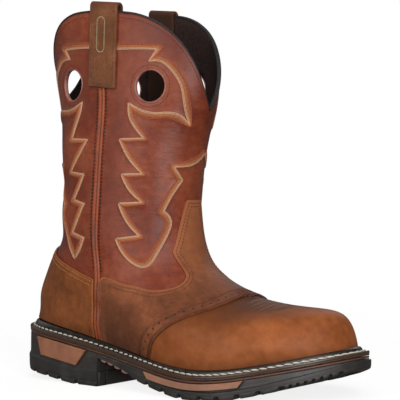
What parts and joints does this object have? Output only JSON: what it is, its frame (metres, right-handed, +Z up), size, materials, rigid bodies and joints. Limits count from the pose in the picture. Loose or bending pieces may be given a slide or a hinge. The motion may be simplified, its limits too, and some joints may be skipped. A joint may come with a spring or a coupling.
{
  "type": "roper boot",
  "caption": "Pull-on roper work boot with a scalloped collar, pull holes and loops, a stitched welt and a heeled lug sole.",
  "frame": {"origin": "on the floor under the middle of the bounding box", "axes": "+X towards the toe, +Y towards the inner (medial) side, +Z up"},
  "size_m": [0.3066, 0.1195, 0.291],
  "materials": {
    "black_rubber": "satin moulded rubber",
    "tan_rubber": "matte moulded rubber",
    "brown_midsole": "satin cut edge",
    "black_welt": "glossy extruded strip",
    "felt": "matte felt board",
    "red_leather": "oiled red-brown leather",
    "tan_leather": "oiled tan leather",
    "piping": "folded orange-brown leather",
    "strap_leather": "matte brown nubuck"
  },
  "bodies": {
    "root": {"outsole": "black_rubber", "heel_insert_lateral": "tan_rubber", "heel_insert_medial": "tan_rubber", "forefoot_insert_lateral": "tan_rubber", "forefoot_insert_medial": "tan_rubber", "midsole": "brown_midsole", "welt": "black_welt", "insole": "felt", "upper": "red_leather", "saddle": "tan_leather", "counter": "tan_leather", "side_seam_lateral": "piping", "side_seam_medial": "piping", "pull_strap_lateral": "strap_leather", "pull_strap_medial": "strap_leather"}
  },
  "joints": []
}
